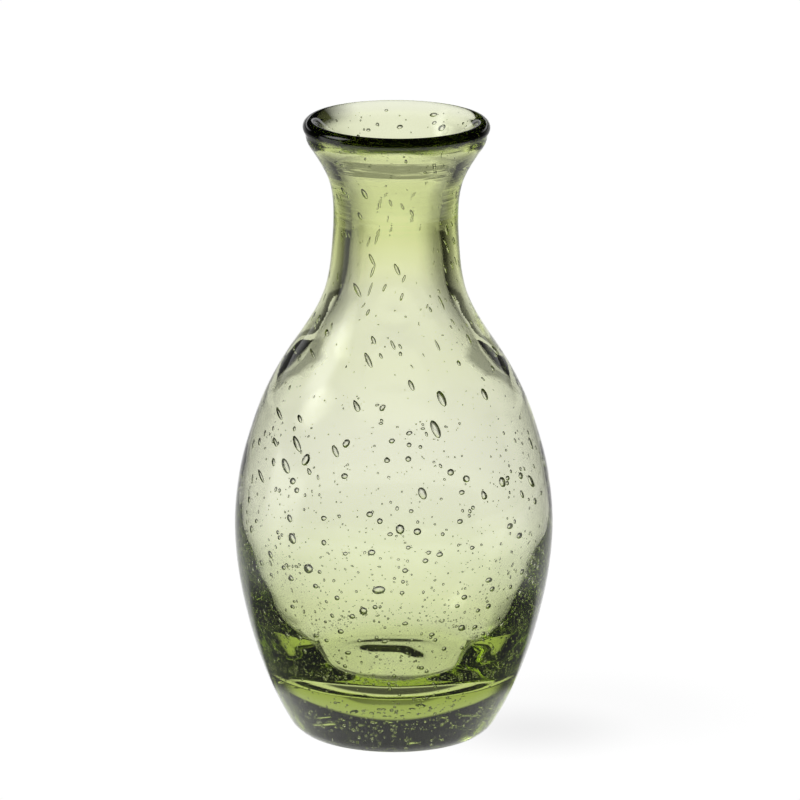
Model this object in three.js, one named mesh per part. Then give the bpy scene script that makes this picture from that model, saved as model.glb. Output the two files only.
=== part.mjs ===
// Sake bottle (tokkuri) of hand-blown bubble glass, 1-go size.
// One body of revolution about +Z: heavy base with a foot ring and a pushed-up
// underside, egg-shaped belly, narrow neck, flared mouth with a thick rounded lip.
// Millimetres. Origin: centre of the foot ring, on the plane it stands on.
import * as THREE from 'three';

// ---- driving dimensions -------------------------------------------------
const HEIGHT = 140.0;             // foot plane to the top of the lip
const LIP_TUBE_R = 1.7;           // radius of the rounded lip's section
const LIP_CENTRE_R = 19.02;       // radius of the circle through the lip's section centres
const LIP_START = -42.7;          // degrees: where the rounding leaves the outer wall
const LIP_END = 139.5;           // degrees: where it runs into the inner wall
const FOOT_OUTER_R = 20.11;       // outer edge of the flat ring it stands on
const FOOT_INNER_R = 16.83;       // inner edge of that ring
const CAVITY_FLOOR = 13.54;        // height of the inside bottom: the base is this thick
const SEGMENTS = 48;              // facets round the axis

// Underside, [height, radius]: pontil mark in the middle, then the pushed-up
// ring round it, down to the inner edge of the foot ring.
const UNDERSIDE = [
  [2.1, 0], [2.05, 2.99], [1.85, 4.78], [1.25, 6.87], [0.72, 8.76], [0.52, 10.06],
  [0.4, 11.45], [0.25, 13.94], [0.08, 15.73],
];

// Outer wall, [height, radius], from the foot ring up to the lip.
const OUTER = [
  [0.25, 20.81], [0.8, 21.66], [1.99, 22.85], [4.18, 24.15], [6.97, 25.64], [10.45, 27.28],
  [14.94, 29.07], [20.91, 31.12], [27.88, 33.01], [35.85, 34.6], [42.82, 35.4], [48.79, 35.57],
  [54.76, 35.15], [61.73, 34.05], [68.7, 32.16], [75.67, 29.77], [81.65, 26.98], [87.12, 23.8],
  [92.1, 20.46], [96.58, 17.77], [101.06, 15.83], [106.04, 14.69], [111.52, 14.14], [117.49, 13.84],
  [122.47, 14.04], [126.45, 14.89], [129.94, 16.53], [132.93, 18.37], [135.12, 19.76],
];

// Inner wall, [height, radius], from the mouth down to the inside bottom.
const INNER = [
  [136.01, 14.64], [133.72, 13.45], [130.93, 12.61], [127.95, 11.72], [124.46, 10.62], [120.48, 10.08],
  [116, 9.81], [110.62, 10.31], [106.04, 10.85], [101.56, 11.9], [96.88, 13.94], [93.2, 15.93],
  [89.81, 18.12], [86.33, 21.11], [82.74, 24.1], [79.36, 26.39], [75.67, 28.48], [68.7, 31.07],
  [61.73, 32.91], [54.76, 33.9], [47.79, 33.95], [40.82, 32.71], [34.85, 30.92], [28.88, 28.63],
  [24.1, 26.09], [19.91, 23.5], [16.93, 20.91], [15.13, 18.12], [14.24, 14.94], [13.79, 9.96],
  [13.59, 4.98],
];

// ---- profile ------------------------------------------------------------
const p = (r, z) => new THREE.Vector2(r, z);

function lip() {
  const zc = HEIGHT - LIP_TUBE_R;
  const pts = [];
  for (let k = 0; k <= 8; k++) {
    const a = (LIP_START + ((LIP_END - LIP_START) * k) / 8) * Math.PI / 180;
    pts.push(p(LIP_CENTRE_R + LIP_TUBE_R * Math.cos(a), zc + LIP_TUBE_R * Math.sin(a)));
  }
  return pts;
}

const profile = [
  ...UNDERSIDE.map(([z, r]) => p(r, z)),
  p(FOOT_INNER_R, 0),
  p(FOOT_OUTER_R, 0),
  ...OUTER.map(([z, r]) => p(r, z)),
  ...lip(),
  ...INNER.map(([z, r]) => p(r, z)),
  p(0, CAVITY_FLOOR),
];

// ---- solid --------------------------------------------------------------
const geometry = new THREE.LatheGeometry(profile, SEGMENTS);
geometry.rotateX(Math.PI / 2);    // the lathe turns about +Y; the bottle stands on +Z

const glass = new THREE.MeshStandardMaterial({
  color: new THREE.Color().setRGB(0.66, 0.72, 0.40, THREE.SRGBColorSpace),
  roughness: 0.04,
  metalness: 0.0,
});
glass.name = 'bubble_glass';

const body = new THREE.Mesh(geometry, glass);
body.name = 'bottle_body';

const bottle = new THREE.Group();
bottle.name = 'sake_bottle';
bottle.add(body);

export default bottle;
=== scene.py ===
# Sake bottle of hand-blown bubble glass: the looks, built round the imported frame.
import bpy
import math
import numpy as np
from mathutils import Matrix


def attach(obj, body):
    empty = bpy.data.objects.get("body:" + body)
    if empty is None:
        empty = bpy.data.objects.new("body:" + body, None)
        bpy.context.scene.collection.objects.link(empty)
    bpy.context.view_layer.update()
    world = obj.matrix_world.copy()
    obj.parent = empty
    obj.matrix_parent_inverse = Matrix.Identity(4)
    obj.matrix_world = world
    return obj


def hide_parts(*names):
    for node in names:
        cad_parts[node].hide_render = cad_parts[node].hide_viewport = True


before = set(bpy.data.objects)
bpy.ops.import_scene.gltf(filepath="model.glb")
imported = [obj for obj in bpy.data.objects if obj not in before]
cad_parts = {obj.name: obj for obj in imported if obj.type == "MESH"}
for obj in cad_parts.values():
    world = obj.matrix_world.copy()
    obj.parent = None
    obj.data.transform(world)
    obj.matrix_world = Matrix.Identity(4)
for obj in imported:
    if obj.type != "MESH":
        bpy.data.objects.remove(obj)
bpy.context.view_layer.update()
MM = 0.001

# ------------------------------------------------------------------ camera
ELEV = 15.5            # degrees the camera looks down
DIST = 1.5             # metres to the target
TARGET_Z = 0.0697
PX_PER_MM = 4.484      # at the target, in an 800 px frame
ROLL = 0.39            # degrees
CENTRE_X, CENTRE_Y = 394.4, 426.75   # where the target falls in the frame

cam_data = bpy.data.cameras.new("camera")
cam = bpy.data.objects.new("camera", cam_data)
bpy.context.scene.collection.objects.link(cam)
bpy.context.scene.camera = cam
e = math.radians(ELEV)
cam.location = (0.0, -DIST * math.cos(e), TARGET_Z + DIST * math.sin(e))
cam.rotation_mode = "QUATERNION"
from mathutils import Matrix, Vector, Euler
look = Matrix.Rotation(math.radians(90 - ELEV), 4, "X")
roll = Matrix.Rotation(math.radians(ROLL), 4, "Z")
cam.rotation_quaternion = (look @ roll).to_quaternion()
cam_data.sensor_width = 36.0
frame_w_mm = 800.0 / PX_PER_MM
cam_data.lens = 36.0 * DIST * 1000.0 / frame_w_mm
cam_data.shift_x = (400.0 - CENTRE_X) / 800.0
cam_data.shift_y = -(400.0 - CENTRE_Y) / 800.0
cam_data.clip_start = 0.05
cam_data.clip_end = 50.0

# ------------------------------------------------------------------ profile, mm
K = 0.9957
HEIGHT = 140.0
OUTER = [
    (0.0, 20.2), (0.25, 20.9), (0.8, 21.75), (2.0, 22.95), (4.2, 24.25), (7.0, 25.75), (10.5, 27.4), (15.0, 29.2),
    (21.0, 31.25), (28.0, 33.15), (36.0, 34.75), (43.0, 35.55), (49.0, 35.72), (55.0, 35.3),
    (62.0, 34.2), (69.0, 32.3), (76.0, 29.9), (82.0, 27.1), (87.5, 23.9), (92.5, 20.55),
    (97.0, 17.85), (101.5, 15.9), (106.5, 14.75), (112.0, 14.2), (118.0, 13.9),
    (123.0, 14.1), (127.0, 14.95), (130.5, 16.6), (133.5, 18.45), (135.7, 19.85),
]
INNER = [
    (136.6, 14.7), (134.3, 13.51), (131.5, 12.66), (128.5, 11.77), (125.0, 10.67), (121.0, 10.12),
    (116.5, 9.85), (111.1, 10.35), (106.5, 10.9), (102.0, 11.95), (97.3, 14.0), (93.6, 16.0), (90.2, 18.2),
    (86.7, 21.2), (83.1, 24.2), (79.7, 26.5), (76.0, 28.6), (69.0, 31.2), (62.0, 33.05),
    (55.0, 34.05), (48.0, 34.1), (41.0, 32.85), (35.0, 31.05), (29.0, 28.75), (24.2, 26.2),
    (20.0, 23.6), (17.0, 21.0), (15.2, 18.2), (14.3, 15.0), (13.85, 10.0), (13.65, 5.0), (13.6, 0.0),
]
LIP_T, LIP_C = 1.7, 19.1
UNDER = [
    (2.1, 0.0), (2.05, 3.0), (1.85, 4.8), (1.25, 6.9), (0.72, 8.8), (0.52, 10.1), (0.4, 11.5), (0.25, 14.0), (0.08, 15.8),
    (0.0, 16.9), (0.0, 18.0),
]
AZ_STEPS = 136


def smooth_curve(pts, step):
    """Centripetal Catmull-Rom through (r, z) points, resampled at step(r, z) mm."""
    P = np.array(pts, float)
    P = np.vstack([2 * P[0] - P[1], P, 2 * P[-1] - P[-2]])
    out = [P[1]]
    for i in range(1, len(P) - 2):
        p0, p1, p2, p3 = P[i - 1:i + 3]
        t0 = 0.0
        t1 = t0 + max(np.linalg.norm(p1 - p0), 1e-6) ** 0.5
        t2 = t1 + max(np.linalg.norm(p2 - p1), 1e-6) ** 0.5
        t3 = t2 + max(np.linalg.norm(p3 - p2), 1e-6) ** 0.5
        for t in np.linspace(t1, t2, 17)[1:]:
            a1 = (t1 - t) / (t1 - t0) * p0 + (t - t0) / (t1 - t0) * p1
            a2 = (t2 - t) / (t2 - t1) * p1 + (t - t1) / (t2 - t1) * p2
            a3 = (t3 - t) / (t3 - t2) * p2 + (t - t2) / (t3 - t2) * p3
            b1 = (t2 - t) / (t2 - t0) * a1 + (t - t0) / (t2 - t0) * a2
            b2 = (t3 - t) / (t3 - t1) * a2 + (t - t1) / (t3 - t1) * a3
            out.append((t2 - t) / (t2 - t1) * b1 + (t - t1) / (t2 - t1) * b2)
    out = np.array(out)
    d = np.r_[0, np.cumsum(np.linalg.norm(np.diff(out, axis=0), axis=1))]
    w = np.array([1.0 / step(*q) for q in out])
    u = np.r_[0, np.cumsum(np.diff(d) * (w[1:] + w[:-1]) / 2)]
    n = max(2, int(round(u[-1])))
    s = np.interp(np.linspace(0, u[-1], n + 1), u, d)
    return np.stack([np.interp(s, d, out[:, 0]), np.interp(s, d, out[:, 1])], 1)


outer = [(r * K, z * K) for z, r in OUTER]
inner = [(r * K, z * K) for z, r in INNER]
zc = HEIGHT - LIP_T
lip = []
for k in range(11):
    a = math.radians(-42.7 + 182.2 * k / 10)
    lip.append((LIP_C * K + LIP_T * math.cos(a), zc + LIP_T * math.sin(a)))
under = [(r * K, z) for z, r in UNDER]
def ring_step(r, z):
    if z > 132 or z < 6 or (z < 20 and r < 24):
        return 0.6
    return 1.0 if z > 118 else 1.35


c1 = smooth_curve(under, lambda r, z: 0.7)
c2 = smooth_curve(outer + lip + inner, ring_step)
c1[:, 1] = np.maximum(c1[:, 1], 0)
flat = np.array([[c1[-1, 0] + (c2[0, 0] - c1[-1, 0]) * t, 0.0] for t in (0.33, 0.66)])
prof = np.vstack([c1, flat, c2])
prof[0, 0] = 0.0
prof[-1, 0] = 0.0


def lathe_mesh(name, prof, n):
    verts = [(0.0, 0.0, prof[0, 1] * MM)]
    rings = prof[1:-1]
    ang = np.linspace(0, 2 * math.pi, n, endpoint=False)
    for r, z in rings:
        for a in ang:
            verts.append((r * math.cos(a) * MM, r * math.sin(a) * MM, z * MM))
    verts.append((0.0, 0.0, prof[-1, 1] * MM))
    faces = []
    m = len(rings)
    for j in range(n):
        k = (j + 1) % n
        faces.append((0, 1 + k, 1 + j))
        for i in range(m - 1):
            a0, b0 = 1 + i * n + j, 1 + i * n + k
            faces.append((a0, b0, b0 + n, a0 + n))
        faces.append((1 + (m - 1) * n + j, 1 + (m - 1) * n + k, len(verts) - 1))
    me = bpy.data.meshes.new(name)
    me.from_pydata(verts, [], faces)
    me.update()
    return me


# ------------------------------------------------------------------ bubbles
# The larger ones one by one: (angle round the axis from the front, height, length, width, lean) in degrees and mm.
BUBBLES = [
    (-56.7, 125.8, 2.11, 1.07, -24), (-30.5, 126.1, 2.73, 1.2, -17), (-158.1, 118.5, 3.05, 0.79, -26),
    (-167.2, 120.9, 2.12, 0.56, -25), (6.2, 123.5, 1.85, 0.54, -23), (158.3, 120.9, 3, 0.56, -23),
    (-38.2, 120.5, 1.87, 0.96, -30), (15.9, 121.8, 1.8, 0.72, -24), (159.1, 114.7, 1.55, 0.73, -24),
    (-173.9, 112.1, 1.7, 0.55, -23), (-156.6, 111.4, 3.08, 0.82, -24), (-143.6, 110.6, 2.11, 0.72, -26),
    (-23.9, 111, 2.81, 0.79, -29), (-153.6, 103.6, 3.43, 0.89, -19), (1.5, 109.1, 2.85, 0.89, -24),
    (171.2, 101.1, 2.55, 0.72, -22), (-37.1, 103.8, 3.68, 1.07, -39), (-153.6, 99.1, 3.5, 0.72, -11),
    (-169.2, 99, 2.24, 0.81, -16), (173.8, 96.7, 2.2, 0.74, -20), (43.4, 100.9, 3.58, 0.71, -15),
    (151.1, 95.4, 2.25, 0.54, -31), (30.9, 99.9, 1.41, 0.62, -15), (-156.9, 93.2, 2.43, 0.98, -7),
    (-48.5, 133.5, 1.43, 1, 69), (-15.3, 93.9, 2.25, 0.9, -31), (-1.4, 93.1, 2.42, 0.72, -24),
    (-9, 90.9, 1.5, 0.71, -28), (-16.5, 89.9, 4.08, 1.07, -32), (-58.5, 89, 3.64, 0.7, -64),
    (-83.2, 87.7, 2.25, 0.8, 90), (29.7, 92.6, 2.83, 0.62, -10), (57.9, 92.2, 2.59, 1.07, 4),
    (91.9, 81.1, 2.2, 0.8, 31), (65.1, 85.6, 1.41, 1.07, 6), (40.6, 88.5, 1.42, 0.94, -4), (49, 81.8, 2.81, 1.57, -5),
    (8.8, 85.4, 2.62, 1.1, -20), (23.7, 82.5, 3.77, 1.78, -14), (18.2, 76.7, 4.22, 1.89, -18),
    (-18.4, 81.2, 2.95, 1.27, -33), (-24.8, 71.7, 2.9, 1.33, -34), (-61, 76.3, 4.48, 1.07, -64),
    (-46.3, 76.8, 2.27, 1.09, -51), (-57.3, 70.6, 2.76, 1.07, -58), (-44.1, 71.7, 4.24, 1.55, -46),
    (-143.7, 54.3, 3.28, 2.38, -26), (-47.4, 66.6, 3.96, 1.9, -47), (-61.2, 62.6, 4.08, 1.07, -60),
    (-35.2, 66.7, 1.72, 1.04, -39), (-42.2, 63.9, 1.58, 1.75, -21), (-39.5, 62.2, 1.35, 1.41, -19),
    (10.8, 63.6, 2.82, 1.81, -22), (22.7, 67.6, 1.56, 1.68, 0), (151.1, 48.8, 2.1, 1.93, -25),
    (45.8, 63.6, 2.45, 1.94, -18), (49, 64.1, 1.12, 1.31, 8), (57.1, 63.6, 1.56, 1.67, 12),
    (35.9, 61.8, 2.2, 1.48, -20), (55.9, 59.7, 2.17, 1.07, -25), (84.3, 62.5, 3, 1.34, -39),
    (6.2, 73.8, 1.12, 1.12, -4), (10.9, 73.3, 0.89, 0.91, -3), (-179.1, 58.1, 1.77, 1.45, -22),
    (174.3, 60.9, 2.07, 1.43, -22), (-161, 57.6, 2.43, 1.82, -21), (-175.2, 69, 2.15, 1.32, -19),
    (-2.9, 70.7, 1.34, 1.34, -7), (5.7, 70.9, 1.34, 1.34, -4), (-19.6, 66.8, 1.65, 1.34, 76),
    (-8.9, 59.1, 1.58, 1.34, 79), (-5.1, 57.7, 1.35, 1.34, -7), (2.3, 56, 2.25, 2.01, -6), (8.6, 55.4, 1.8, 1.58, 83),
    (-1.3, 54.9, 1.34, 0.9, 81), (6.4, 59.9, 1.12, 0.9, 83), (-26.4, 57.3, 1.5, 1.12, 75),
    (-41.4, 55.8, 1.96, 1.38, -39), (-39.6, 51.5, 2.62, 1.86, -35), (-50.8, 46.4, 1.92, 1.34, -37),
    (18, 54.5, 0.91, 0.93, -4), (24.9, 56.9, 1.46, 1.13, 88), (26.5, 63.1, 1.48, 1.12, 89),
    (47.2, 53.7, 1.39, 1.95, -4), (52.3, 50.9, 1.4, 2.01, -4), (29.6, 50.7, 1.27, 0.93, 90),
    (16.8, 50, 1.62, 1.15, 86), (12.7, 50.6, 1.14, 0.92, 84), (-26, 51.9, 1.35, 1.25, -9), (-17.6, 50, 1.18, 0.9, 77),
    (-7.9, 50.7, 1.81, 1.36, 79), (5.3, 51.9, 1.12, 0.91, 82), (-32.4, 45.4, 2.29, 2.44, -6),
    (-27.7, 45.1, 0.92, 1.03, -6), (-40.6, 42.3, 1.4, 1.55, -3), (-43.9, 44.3, 1.14, 1.29, -7),
    (-29.7, 41.6, 1.18, 1.33, -3), (-5.3, 42.1, 2.94, 1.9, 79), (4.2, 46.7, 1.34, 1.17, 82),
    (11.5, 48.8, 1.36, 1.16, 84), (3.5, 44.1, 0.93, 0.89, -6), (3.2, 41.5, 1.12, 0.96, 81),
    (-21.2, 39.5, 1.19, 1.23, -4), (-41.4, 35.5, 0.97, 1.28, 1), (-15.6, 35.4, 1.43, 1.21, 76),
    (-11.2, 36.9, 1.91, 1.84, -5), (4.6, 34.1, 1.34, 1, 81), (15.3, 31.1, 1.37, 1.02, 85),
    (37.3, 42.5, 1.95, 1.25, -88), (39.3, 40.2, 1.26, 1.45, -12), (27.2, 39.4, 1.49, 1.25, 89),
    (24.6, 37.5, 1.21, 0.99, 88), (33.8, 35.7, 1.03, 1.08, -13), (38.5, 36.2, 1.29, 1.44, -13),
    (27.6, 32, 1.74, 1.57, 89), (33.7, 31.7, 1.33, 1.07, -89), (-20.8, 31.4, 1.49, 1.22, 75),
    (-31.9, 29.5, 1.69, 0.97, 73), (-27.4, 28.7, 0.99, 1.05, 0), (-3.2, 29.7, 1.35, 0.99, 79),
    (-6.4, 30.6, 0.99, 0.91, -4), (-13.4, 29.6, 0.99, 0.94, -3), (-18.5, 26.3, 1.48, 1.02, 75),
    (-20.4, 22.9, 1.03, 0.99, 0), (-20.3, 21.2, 1.04, 0.99, 0), (-47.4, 27.9, 1.27, 1.67, 6),
    (-40.4, 28.1, 1.26, 1.6, 4), (-39, 25, 1.04, 1.26, 5), (-50.5, 31.1, 1, 1.34, 5), (12.1, 23, 1.13, 1.05, 83),
    (14.4, 22.1, 1.06, 0.91, -9), (-1.6, 19.1, 1.08, 0.9, -5), (-1.2, 17.8, 1.08, 0.9, -5),
    (0.6, 21.1, 1.05, 0.89, -5), (38.4, 29.6, 1.07, 1.15, -15), (41.2, 29, 1.08, 1.21, -16),
    (48.1, 30.6, 1.4, 1.67, -19), (54.9, 42.2, 1.32, 1.67, -17), (64.8, 38.3, 1.46, 1.67, -24),
    (55.9, 37.3, 1.35, 1.67, -18), (67.3, 41.4, 1.51, 1.67, -27), (151.2, 137.2, 2.09, 1.13, -75),
    (177.3, 134.1, 1.56, 0.93, -80), (140.6, 134.5, 2.14, 1.45, -72), (149.4, 135.2, 1.27, 0.9, -74),
    (-164.8, 134.6, 0.93, 0.68, -85), (-156.3, 133.7, 1.21, 0.7, -88), (-172.4, 137.8, 0.9, 0.7, -83),
]


def ico(level):
    t = (1 + 5 ** 0.5) / 2
    v = [(-1, t, 0), (1, t, 0), (-1, -t, 0), (1, -t, 0), (0, -1, t), (0, 1, t), (0, -1, -t), (0, 1, -t),
         (t, 0, -1), (t, 0, 1), (-t, 0, -1), (-t, 0, 1)]
    f = [(0, 11, 5), (0, 5, 1), (0, 1, 7), (0, 7, 10), (0, 10, 11), (1, 5, 9), (5, 11, 4), (11, 10, 2), (10, 7, 6),
         (7, 1, 8), (3, 9, 4), (3, 4, 2), (3, 2, 6), (3, 6, 8), (3, 8, 9), (4, 9, 5), (2, 4, 11), (6, 2, 10),
         (8, 6, 7), (9, 8, 1)]
    v = [np.array(p, float) / np.linalg.norm(p) for p in v]
    for _ in range(level):
        mid, nf = {}, []

        def half(a, b):
            key = (min(a, b), max(a, b))
            if key not in mid:
                q = v[a] + v[b]
                v.append(q / np.linalg.norm(q))
                mid[key] = len(v) - 1
            return mid[key]
        for a, b, c in f:
            ab, bc, ca = half(a, b), half(b, c), half(c, a)
            nf += [(a, ab, ca), (b, bc, ab), (c, ca, bc), (ab, bc, ca)]
        f = nf
    return np.array(v), np.array(f)


ICO = [ico(0), ico(1), ico(2)]
zo, ro_ = np.array([p[1] for p in outer]), np.array([p[0] for p in outer])
zi, ri_ = np.array([p[1] for p in inner])[::-1], np.array([p[0] for p in inner])[::-1]


def r_out(z):
    return np.interp(z, zo, ro_)


def r_in(z):
    return np.interp(z, zi, ri_, left=0.0)


class Bubbles:
    def __init__(self):
        self.v, self.f, self.n = [], [], 0
        self.cells = {}
        self.count = 0

    def free(self, c, rad):
        k = tuple((c // 4).astype(int))
        for i in (-1, 0, 1):
            for j in (-1, 0, 1):
                for l in (-1, 0, 1):
                    for q, rq in self.cells.get((k[0] + i, k[1] + j, k[2] + l), ()):
                        if np.linalg.norm(c - q) < (rad + rq) * 0.75 + 0.05:
                            return False
        self.cells.setdefault(k, []).append((c, rad))
        return True

    def add(self, az, z, length, width, lean, depth=0.5, r=None, level=None, flat=0.6, tail=0.0, force=False):
        """One void: half a wall deep unless r is given; flattened into the wall, drawn out along its lean."""
        a = math.radians(az)
        rad = np.array([math.sin(a), -math.cos(a), 0.0])
        tphi = np.array([math.cos(a), math.sin(a), 0.0])
        ro1, ri1 = float(r_out(z)), float(r_in(z))
        sl = float(r_out(z + 1) - r_out(z - 1)) / 2
        cosn = 1 / math.hypot(1, sl)
        ts = rad * sl + np.array([0, 0, 1.0])
        ts /= np.linalg.norm(ts)
        nrm = np.cross(tphi, ts)
        wall = (ro1 - ri1) * cosn
        if r is None:
            r = ro1 - min((ro1 - ri1) * depth, 2.2)
        room = max(0.12, min(ro1 - r, r - ri1 if ri1 > 0 else 9) * cosn * 0.86)
        c = rad * r + np.array([0, 0, z])
        hl, hw = length / 2, width / 2
        hn = min(hw * flat, room)
        if not self.free(c, max(hl * 0.7, hw)) and not force:
            return False
        if level is None:
            level = 2 if hl > 1.25 else (1 if hl > 0.33 else 0)
        V, F = ICO[level]
        t = math.radians(lean)
        e1 = ts * math.cos(t) + tphi * math.sin(t)
        e2 = tphi * math.cos(t) - ts * math.sin(t)
        taper = 1.0 - tail * V[:, 0]
        P = c + np.outer(V[:, 0] * hl, e1) + np.outer(V[:, 1] * hw * taper, e2) + np.outer(V[:, 2] * hn * taper, nrm)
        # long ones bend with the wall
        off = (V[:, 0] * hl * math.sin(t) + V[:, 1] * hw * math.cos(t))
        P = P - np.outer(off ** 2 / (2 * r), rad) if r > 3 else P
        d = np.cross(e1, e2) @ nrm
        F2 = F[:, ::-1] if d > 0 else F
        self.v.append(P)
        self.f.append(F2 + self.n)
        self.n += len(P)
        self.count += 1
        return True


rng = np.random.RandomState(20)
B = Bubbles()
for k, (az_, z_, l_, w_, t_) in enumerate(BUBBLES):
    B.add(az_, z_, l_, w_, t_, tail=0.35 if k % 9 == 4 else 0.0)


def scatter(n, z_lo, z_hi, l_lo, l_hi, aspect, lean, spread, z_pow=1.0, az_ok=None, depth=(0.3, 0.7), flat=0.6):
    done = 0
    for _ in range(n * 3):
        if done >= n:
            break
        az = rng.uniform(-180, 180)
        z = z_lo + (z_hi - z_lo) * rng.rand() ** z_pow
        l = l_lo + (l_hi - l_lo) * rng.rand() ** 2.2
        asp = rng.uniform(*aspect)
        t = lean + rng.normal() * spread
        dp = rng.uniform(*depth)
        if az_ok and not az_ok(az):
            continue
        if B.add(az, z, l, l * asp, t, depth=dp, flat=flat):
            done += 1


sides = lambda az: 52 < abs(az) < 128
scatter(26, 96, 124, 1.2, 3.2, (0.25, 0.4), -24, 5, az_ok=sides)
scatter(70, 88, 131, 0.5, 1.9, (0.3, 0.5), -24, 6)
scatter(34, 60, 96, 1.2, 3.6, (0.45, 0.7), -24, 8, az_ok=sides)
scatter(34, 24, 62, 0.9, 2.2, (0.7, 1.0), -15, 25, az_ok=sides)
scatter(110, 62, 96, 0.35, 1.3, (0.5, 0.9), -22, 12)
scatter(430, 26, 66, 0.3, 1.2, (0.65, 1.0), -10, 40, z_pow=1.15)
scatter(420, 28, 84, 0.26, 0.6, (0.6, 1.0), -15, 40, z_pow=1.1)
scatter(24, 128, 137, 0.5, 1.2, (0.6, 0.9), 80, 15)


def swarm(n, z_lo, z_hi, deep, l_lo, l_hi, z_pow=1.0):
    """Fine ones through the thickness of the heavy base and the lower sides."""
    done = 0
    for _ in range(n * 4):
        if done >= n:
            break
        az = rng.uniform(-180, 180)
        z = z_lo + (z_hi - z_lo) * rng.rand() ** z_pow
        l = l_lo + (l_hi - l_lo) * rng.rand() ** 3
        u = rng.rand()
        ro1, ri1 = float(r_out(z)), float(r_in(z))
        r = ro1 - 0.5 - u * deep
        if r < max(ri1, 1.0) + 0.5:
            continue
        if B.add(az, z, l, l * rng.uniform(0.7, 1.0), rng.uniform(-90, 90), r=r, flat=0.9):
            done += 1


swarm(250, 6.2, 9.6, 1.0, 0.5, 1.1)
swarm(760, 11.0, 38.0, 5.0, 0.28, 0.95)
swarm(300, 2.6, 16.0, 3.0, 0.28, 0.85)
swarm(200, 3.0, 12.0, 22.0, 0.3, 0.9)
swarm(80, 133.0, 138.5, 4.0, 0.25, 0.8)

# ------------------------------------------------------------------ one mesh: wall and voids
# Colour of the glass against height (mm), carried on the outside; the heavy base is nearly clear.
TINT = np.array([
    (0.0, 1.0, 1.0, 1.0), (6.0, 1.0, 1.0, 1.0), (14.0, 0.93, 0.96, 0.72), (28.0, 0.82, 0.88, 0.60),
    (42.0, 0.905, 0.93, 0.75), (56.0, 0.955, 0.965, 0.83), (70.0, 0.945, 0.96, 0.79), (84.0, 0.94, 0.955, 0.78),
    (90.0, 0.96, 0.97, 0.80), (98.0, 1.0, 1.0, 0.92), (109.0, 0.945, 0.965, 0.635), (118.0, 0.74, 0.79, 0.40),
    (126.0, 0.76, 0.81, 0.43), (132.0, 0.88, 0.91, 0.60), (138.0, 0.97, 0.98, 0.86), (140.0, 0.98, 0.99, 0.9),
])
# painted shade: the near-black colour laid on the lip where it is seen black
LIP_PAINTED_SHADE = np.array([0.006, 0.007, 0.0015])


def wall_tint_and_lip_shade(r, z, az, cased):
    """Linear RGB of one wall point: the glass tint, with painted shade on the lip; az 0 is the front, + to the right,
    in degrees.
    """
    c = np.array([np.interp(z, TINT[:, 0], TINT[:, k]) for k in (1, 2, 3)])
    c = 1 + (c - 1) * cased
    # painted shade: the lip's colour is darkened towards black at the front and on the left
    a = abs((az + 22 + 180) % 360 - 180)
    w = max(0.0, min(1.0, (z - 136.4) / 1.2)) * max(0.0, min(1.0, (128 - a) / 30))
    w *= cased
    return c * (1 - w) + LIP_PAINTED_SHADE * w


base = lathe_mesh("bottle_wall", prof, AZ_STEPS)
nv = len(base.vertices)
wv = np.empty(nv * 3)
base.vertices.foreach_get("co", wv)
wv = wv.reshape(-1, 3)
wf = [tuple(p.vertices) for p in base.polygons]
bpy.data.meshes.remove(base)
top = int(np.argmax(prof[:, 1]))
ring = np.r_[0, np.repeat(np.arange(1, len(prof) - 1), AZ_STEPS), len(prof) - 1]
# per-vertex glass tint, which also holds the painted shade on the lip
tint_and_lip_shade = np.ones((nv + B.n, 4), np.float32)
for k in range(nv):
    x_, y_, z_ = wv[k] / MM
    cased_ = 1.0 if ring[k] <= top else min(1.0, max(0.0, (z_ - 134.0) / 4.0))
    tint_and_lip_shade[k, :3] = wall_tint_and_lip_shade(math.hypot(x_, y_), z_, math.degrees(math.atan2(x_, -y_)), cased_)
# the pontil mark is not round
pr = np.hypot(wv[:, 0], wv[:, 1]) / MM
pa = np.arctan2(wv[:, 0], -wv[:, 1])
low = (wv[:, 2] / MM < 2.2) & (pr < 13) & (pr > 0.01)
push = 1 + low * (0.10 * np.sin(2 * pa + 0.6) + 0.07 * np.sin(3 * pa + 2.1) + 0.05 * np.sin(5 * pa)) * np.clip((13 - pr) / 5, 0, 1)
wv[:, 0] *= push
wv[:, 1] *= push
allv = np.vstack([wv, np.vstack(B.v) * MM])
allf = wf + [tuple(int(q) for q in t) for t in (np.vstack(B.f) + nv)]
me = bpy.data.meshes.new("bottle_glass")
me.from_pydata(allv.tolist(), [], allf)
me.update()
for p in me.polygons:
    p.use_smooth = True
# the colour attribute carries the glass tint and the painted lip shade
attr = me.attributes.new("tint_and_lip_shade", "FLOAT_COLOR", "POINT")
attr.data.foreach_set("color", tint_and_lip_shade.ravel())
tooled = np.zeros(len(allv), np.float32)
zz = allv[:, 2] / MM
tooled[:nv] = (np.clip((zz - 112) / 10, 0, 1) * np.clip((136 - zz) / 4, 0, 1) + 0.18 * np.clip((zz - 60) / 40, 0, 1) * (zz < 136))[:nv]
attr = me.attributes.new("tooled", "FLOAT", "POINT")
attr.data.foreach_set("value", tooled)
print("bubbles", B.count, "triangles", sum(len(p) - 2 for p in allf))
body = bpy.data.objects.new("bottle_glass", me)
bpy.context.scene.collection.objects.link(body)


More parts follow.
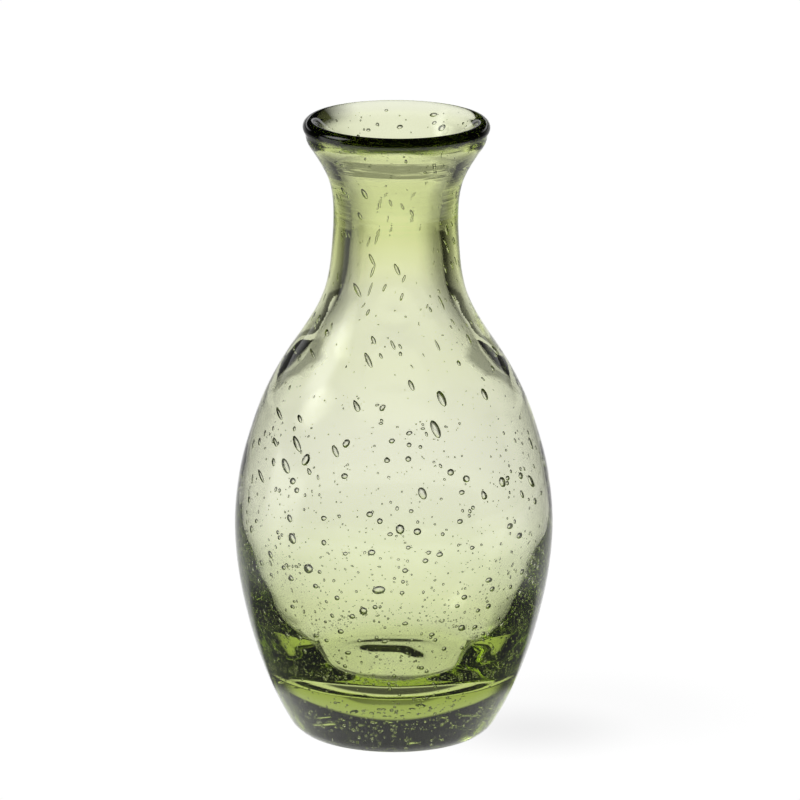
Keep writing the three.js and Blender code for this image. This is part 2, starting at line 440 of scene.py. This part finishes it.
# ------------------------------------------------------------------ glass
def glass_material():
    mat = bpy.data.materials.new("bubble_glass")
    mat.use_nodes = True
    nt = mat.node_tree
    nt.nodes.clear()
    out = nt.nodes.new("ShaderNodeOutputMaterial")
    bsdf = nt.nodes.new("ShaderNodeBsdfPrincipled")
    # glass tint and painted lip shade from the vertex attribute
    an = nt.nodes.new("ShaderNodeAttribute")
    an.attribute_name = "tint_and_lip_shade"
    nt.links.new(an.outputs["Color"], bsdf.inputs["Base Color"])
    # hand-blown unevenness, and the tool's fine rings round the mouth
    tcn = nt.nodes.new("ShaderNodeTexCoord")
    slow = nt.nodes.new("ShaderNodeTexNoise")
    slow.inputs["Scale"].default_value = 55.0
    slow.inputs["Detail"].default_value = 1.0
    nt.links.new(tcn.outputs["Object"], slow.inputs["Vector"])
    mp = nt.nodes.new("ShaderNodeMapping")
    mp.inputs["Scale"].default_value = (35.0, 35.0, 620.0)
    mp.inputs["Rotation"].default_value = (0.05, 0.03, 0.0)
    nt.links.new(tcn.outputs["Object"], mp.inputs["Vector"])
    fine = nt.nodes.new("ShaderNodeTexNoise")
    fine.inputs["Scale"].default_value = 1.0
    fine.inputs["Detail"].default_value = 2.0
    nt.links.new(mp.outputs["Vector"], fine.inputs["Vector"])
    ma = nt.nodes.new("ShaderNodeAttribute")
    ma.attribute_name = "tooled"
    fm_ = nt.nodes.new("ShaderNodeMath")
    fm_.operation = "MULTIPLY"
    nt.links.new(fine.outputs["Fac"], fm_.inputs[0])
    nt.links.new(ma.outputs["Fac"], fm_.inputs[1])
    b1 = nt.nodes.new("ShaderNodeBump")
    b1.inputs["Strength"].default_value = 1.0
    b1.inputs["Distance"].default_value = 0.00035
    nt.links.new(slow.outputs["Fac"], b1.inputs["Height"])
    b2 = nt.nodes.new("ShaderNodeBump")
    b2.inputs["Strength"].default_value = 1.0
    b2.inputs["Distance"].default_value = 0.00009
    nt.links.new(fm_.outputs[0], b2.inputs["Height"])
    nt.links.new(b1.outputs["Normal"], b2.inputs["Normal"])
    nt.links.new(b2.outputs["Normal"], bsdf.inputs["Normal"])
    bsdf.inputs["Roughness"].default_value = 0.0
    bsdf.inputs["IOR"].default_value = 1.5
    bsdf.inputs["Transmission Weight"].default_value = 1.0
    vol = nt.nodes.new("ShaderNodeVolumeAbsorption")
    vol.inputs["Color"].default_value = (0.60, 0.70, 0.0, 1)
    vol.inputs["Density"].default_value = 40.0
    nt.links.new(bsdf.outputs[0], out.inputs["Surface"])
    nt.links.new(vol.outputs[0], out.inputs["Volume"])
    return mat


me.materials.append(glass_material())

# ------------------------------------------------------------------ floor
bpy.ops.mesh.primitive_circle_add(vertices=96, radius=6.0, fill_type="NGON", location=(0, 0, -0.00002))
floor = bpy.context.object
floor.name = "floor"
fm = bpy.data.materials.new("floor")
fm.use_nodes = True
FT = fm.node_tree
FT.nodes.clear()


def curve_node(nt, x, pts, hi):
    """Piecewise-linear function of x given as (x, y) pairs, from 0 to hi."""
    mr = nt.nodes.new("ShaderNodeMapRange")
    mr.inputs["From Max"].default_value = hi
    nt.links.new(x, mr.inputs["Value"])
    cr = nt.nodes.new("ShaderNodeValToRGB")
    els = cr.color_ramp.elements
    while len(els) < len(pts):
        els.new(0.5)
    for e_, (x_, y_) in zip(els, pts):
        e_.position = x_ / hi
        e_.color = (y_, y_, y_, 1)
    nt.links.new(mr.outputs["Result"], cr.inputs["Fac"])
    return cr.outputs["Color"]


# light of the sweep against the angle from straight behind the bottle
FALL = [(0, 1.0), (6, 0.97), (10, 0.82), (15, 0.6), (22, 0.42), (30, 0.28), (40, 0.14), (50, 0.04), (60, 0.02)]
FALL_X = 0.13


def build_floor(nt):
    """White for the camera; what the glass sees of it is a sheet of paper with an end."""
    new, link = nt.nodes.new, nt.links.new

    def mm(op, a, b=None):
        n = new("ShaderNodeMath")
        n.operation = op
        for i, v in enumerate((a, b)):
            if v is None:
                continue
            if isinstance(v, (int, float)):
                n.inputs[i].default_value = v
            else:
                link(v, n.inputs[i])
        return n.outputs[0]

    def step(x, lo, hi):
        n = new("ShaderNodeMapRange")
        n.interpolation_type = "SMOOTHSTEP"
        n.inputs["From Min"].default_value = lo
        n.inputs["From Max"].default_value = hi
        link(x, n.inputs["Value"])
        return n.outputs["Result"]

    g = new("ShaderNodeNewGeometry")
    sp = new("ShaderNodeSeparateXYZ")
    link(g.outputs["Position"], sp.inputs[0])
    x, y = sp.outputs[0], sp.outputs[1]
    r = mm("SQRT", mm("ADD", mm("MULTIPLY", x, x), mm("MULTIPLY", y, y)))
    az = mm("MULTIPLY", mm("ARCTAN2", mm("MULTIPLY", x, -1.0), y), 180 / math.pi)
    far = step(r, NEAR_R - 0.06, NEAR_R + 0.06)
    aa = mm("ABSOLUTE", az)
    back = curve_node(nt, aa, FALL, 60.0)
    left = mm("SUBTRACT", 1.0, step(mm("ABSOLUTE", mm("SUBTRACT", az, 92.0)), 12, 22))
    keep = mm("MAXIMUM", back, left)
    f = mm("ADD", mm("SUBTRACT", 1.0, far), mm("MULTIPLY", far, keep))
    # behind the bottle the light on the paper also falls off to both sides
    q = mm("DIVIDE", x, FALL_X)
    side = mm("DIVIDE", 1.0, mm("ADD", 1.0, mm("MULTIPLY", q, q)))
    behind = mm("MULTIPLY", mm("SUBTRACT", 1.0, far), mm("SUBTRACT", 1.0, step(aa, 62, 85)))
    f = mm("ADD", mm("MULTIPLY", mm("SUBTRACT", 1.0, behind), f), mm("MULTIPLY", behind, side))
    # light gets under the foot from behind, not from the front
    front = mm("MULTIPLY", mm("SUBTRACT", 1.0, step(y, -0.0108, -0.0070)), mm("SUBTRACT", 1.0, step(r, 0.0195, 0.0215)))
    under = mm("SUBTRACT", 0.9, mm("MULTIPLY", 0.8, front))
    # in front and to the sides the bottle's own shade lies on the paper
    shade = mm("MULTIPLY", step(r, 0.033, 0.040), mm("SUBTRACT", 1.0, step(r, 0.085, 0.13)))
    shade = mm("MULTIPLY", mm("MULTIPLY", shade, step(aa, 48, 62)), 0.80)
    f = mm("MULTIPLY", f, mm("SUBTRACT", 1.0, shade))
    f = mm("MULTIPLY", f, under)     # less light gets under the foot
    f = mm("MAXIMUM", f, 0.02)
    fo = new("ShaderNodeOutputMaterial")
    fd = new("ShaderNodeBsdfDiffuse")
    cm = new("ShaderNodeCombineColor")
    alb = mm("MULTIPLY", f, FLOOR_ALBEDO)
    for k in range(3):
        link(alb, cm.inputs[k])
    link(cm.outputs[0], fd.inputs["Color"])
    fe = new("ShaderNodeEmission")
    link(mm("MULTIPLY", f, FLOOR_EMIT), fe.inputs["Strength"])
    fa = new("ShaderNodeAddShader")
    link(fd.outputs[0], fa.inputs[0])
    link(fe.outputs[0], fa.inputs[1])
    # the camera sees clean white paper with a faint shadow to the right of the foot
    ex = mm("DIVIDE", mm("SUBTRACT", x, 0.030), 0.030)
    ey = mm("DIVIDE", mm("ADD", y, 0.004), 0.026)
    e1 = mm("SQRT", mm("ADD", mm("MULTIPLY", ex, ex), mm("MULTIPLY", ey, ey)))
    gx = mm("DIVIDE", mm("SUBTRACT", x, 0.045), 0.050)
    gy = mm("DIVIDE", mm("SUBTRACT", y, 0.012), 0.040)
    e2 = mm("SQRT", mm("ADD", mm("MULTIPLY", gx, gx), mm("MULTIPLY", gy, gy)))
    dim = mm("ADD", mm("MULTIPLY", 0.12, mm("SUBTRACT", 1.0, step(e1, 0.0, 1.0))),
             mm("MULTIPLY", 0.04, mm("SUBTRACT", 1.0, step(e2, 0.2, 1.0))))
    ce = new("ShaderNodeEmission")
    link(mm("SUBTRACT", 1.01, dim), ce.inputs["Strength"])
    lpn = new("ShaderNodeLightPath")
    cmix = new("ShaderNodeMixShader")
    link(lpn.outputs["Is Camera Ray"], cmix.inputs["Fac"])
    link(fa.outputs[0], cmix.inputs[1])
    link(ce.outputs[0], cmix.inputs[2])
    link(cmix.outputs[0], fo.inputs["Surface"])


NEAR_R, BACK_HALF, FLOOR_ALBEDO, FLOOR_EMIT = 0.42, 44, 0.8, 1.0
build_floor(FT)
floor.data.materials.append(fm)

# ------------------------------------------------------------------ world
world = bpy.data.worlds.new("studio")
bpy.context.scene.world = world
world.use_nodes = True
wt = world.node_tree
wt.nodes.clear()
N, L = wt.nodes.new, wt.links.new


def val(x):
    n = N("ShaderNodeValue")
    n.outputs[0].default_value = x
    return n.outputs[0]


def m(op, a, b=None, clamp=False):
    n = N("ShaderNodeMath")
    n.operation = op
    n.use_clamp = clamp
    for i, v in enumerate((a, b)):
        if v is None:
            continue
        if isinstance(v, (int, float)):
            n.inputs[i].default_value = v
        else:
            L(v, n.inputs[i])
    return n.outputs[0]


def ramp(x, lo, hi):
    """Smooth step of x from lo to hi."""
    n = N("ShaderNodeMapRange")
    n.interpolation_type = "SMOOTHSTEP"
    n.inputs["From Min"].default_value = lo
    n.inputs["From Max"].default_value = hi
    L(x, n.inputs["Value"])
    return n.outputs["Result"]


tc = N("ShaderNodeTexCoord")
sep = N("ShaderNodeSeparateXYZ")
L(tc.outputs["Generated"], sep.inputs[0])
dx, dy, dz = sep.outputs
az = m("MULTIPLY", m("ARCTAN2", m("MULTIPLY", dx, -1.0), dy), 180 / math.pi)   # 0 = behind the bottle, + to its left
el = m("MULTIPLY", m("ARCSINE", dz), 180 / math.pi)


def panel(az0, half, el_lo, el_hi, soft, strength, soft_el=None):
    d = m("ABSOLUTE", m("SUBTRACT", az, az0))
    d = m("MINIMUM", d, m("SUBTRACT", 360.0, d))
    a = m("SUBTRACT", 1.0, ramp(d, half - soft / 2, half + soft / 2))
    es = soft_el or soft
    b = m("MULTIPLY", ramp(el, el_lo - es / 2, el_lo + es / 2), m("SUBTRACT", 1.0, ramp(el, el_hi - es / 2, el_hi + es / 2)))
    return m("MULTIPLY", m("MULTIPLY", a, b), strength)


def sweep(el_lo, el_hi, strength, soft):
    a = curve_node(wt, m("ABSOLUTE", az), FALL, 60.0)
    b = m("MULTIPLY", ramp(el, el_lo - soft / 2, el_lo + soft / 2), m("SUBTRACT", 1.0, ramp(el, el_hi - soft / 2, el_hi + soft / 2)))
    return m("MULTIPLY", m("MULTIPLY", a, b), strength)


def strip(el_lo, el_hi, strength, soft):
    e2 = m("SUBTRACT", el, m("MULTIPLY", m("MULTIPLY", az, az), 0.0026))
    a = m("SUBTRACT", 1.0, ramp(m("ABSOLUTE", az), 36, 52))
    b = m("MULTIPLY", ramp(el, el_lo - soft / 2, el_lo + soft / 2), m("SUBTRACT", 1.0, ramp(e2, el_hi - soft / 2, el_hi + soft / 2)))
    return m("MULTIPLY", m("MULTIPLY", a, b), strength)


DARK = 0.008
terms = [
    sweep(-90, 1, 1.12, 6),                 # white sweep behind, below eye level
    sweep(0, 10.4, 0.38, 2),                # its grey upper part
    strip(7.0, 10.6, 0.80, 1.0),            # a lit strip across it, a little higher at both ends
    panel(92, 18, -90, 8, 8, 1.1),          # low white board on the left
    panel(88, 13, 24, 50, 14, 3.2, 12),     # softbox above it
    m("MULTIPLY", m("SUBTRACT", 1.0, ramp(el, -40.0, -30)), 1.1),   # pale ground beyond the floor
]
env = val(DARK)
for t in terms:
    env = m("MAXIMUM", env, t)
lp = N("ShaderNodeLightPath")
bg1 = N("ShaderNodeBackground")
L(env, bg1.inputs["Strength"])
bg1.inputs["Color"].default_value = (1, 1, 1, 1)
bg2 = N("ShaderNodeBackground")
bg2.inputs["Color"].default_value = (1, 1, 1, 1)
bg2.inputs["Strength"].default_value = 1.05
mix = N("ShaderNodeMixShader")
L(lp.outputs["Is Camera Ray"], mix.inputs["Fac"])
L(bg1.outputs[0], mix.inputs[1])
L(bg2.outputs[0], mix.inputs[2])
wo = N("ShaderNodeOutputWorld")
L(mix.outputs[0], wo.inputs["Surface"])

# ------------------------------------------------------------------ render look
sc = bpy.context.scene
sc.view_settings.view_transform = "Standard"
sc.view_settings.look = "None"
sc.cycles.max_bounces = 32
sc.cycles.transmission_bounces = 32
sc.cycles.glossy_bounces = 16
sc.cycles.transparent_max_bounces = 16
sc.cycles.sample_clamp_indirect = 10.0

# ------------------------------------------------------------------ frame
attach(body, "root")
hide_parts("bottle_body")
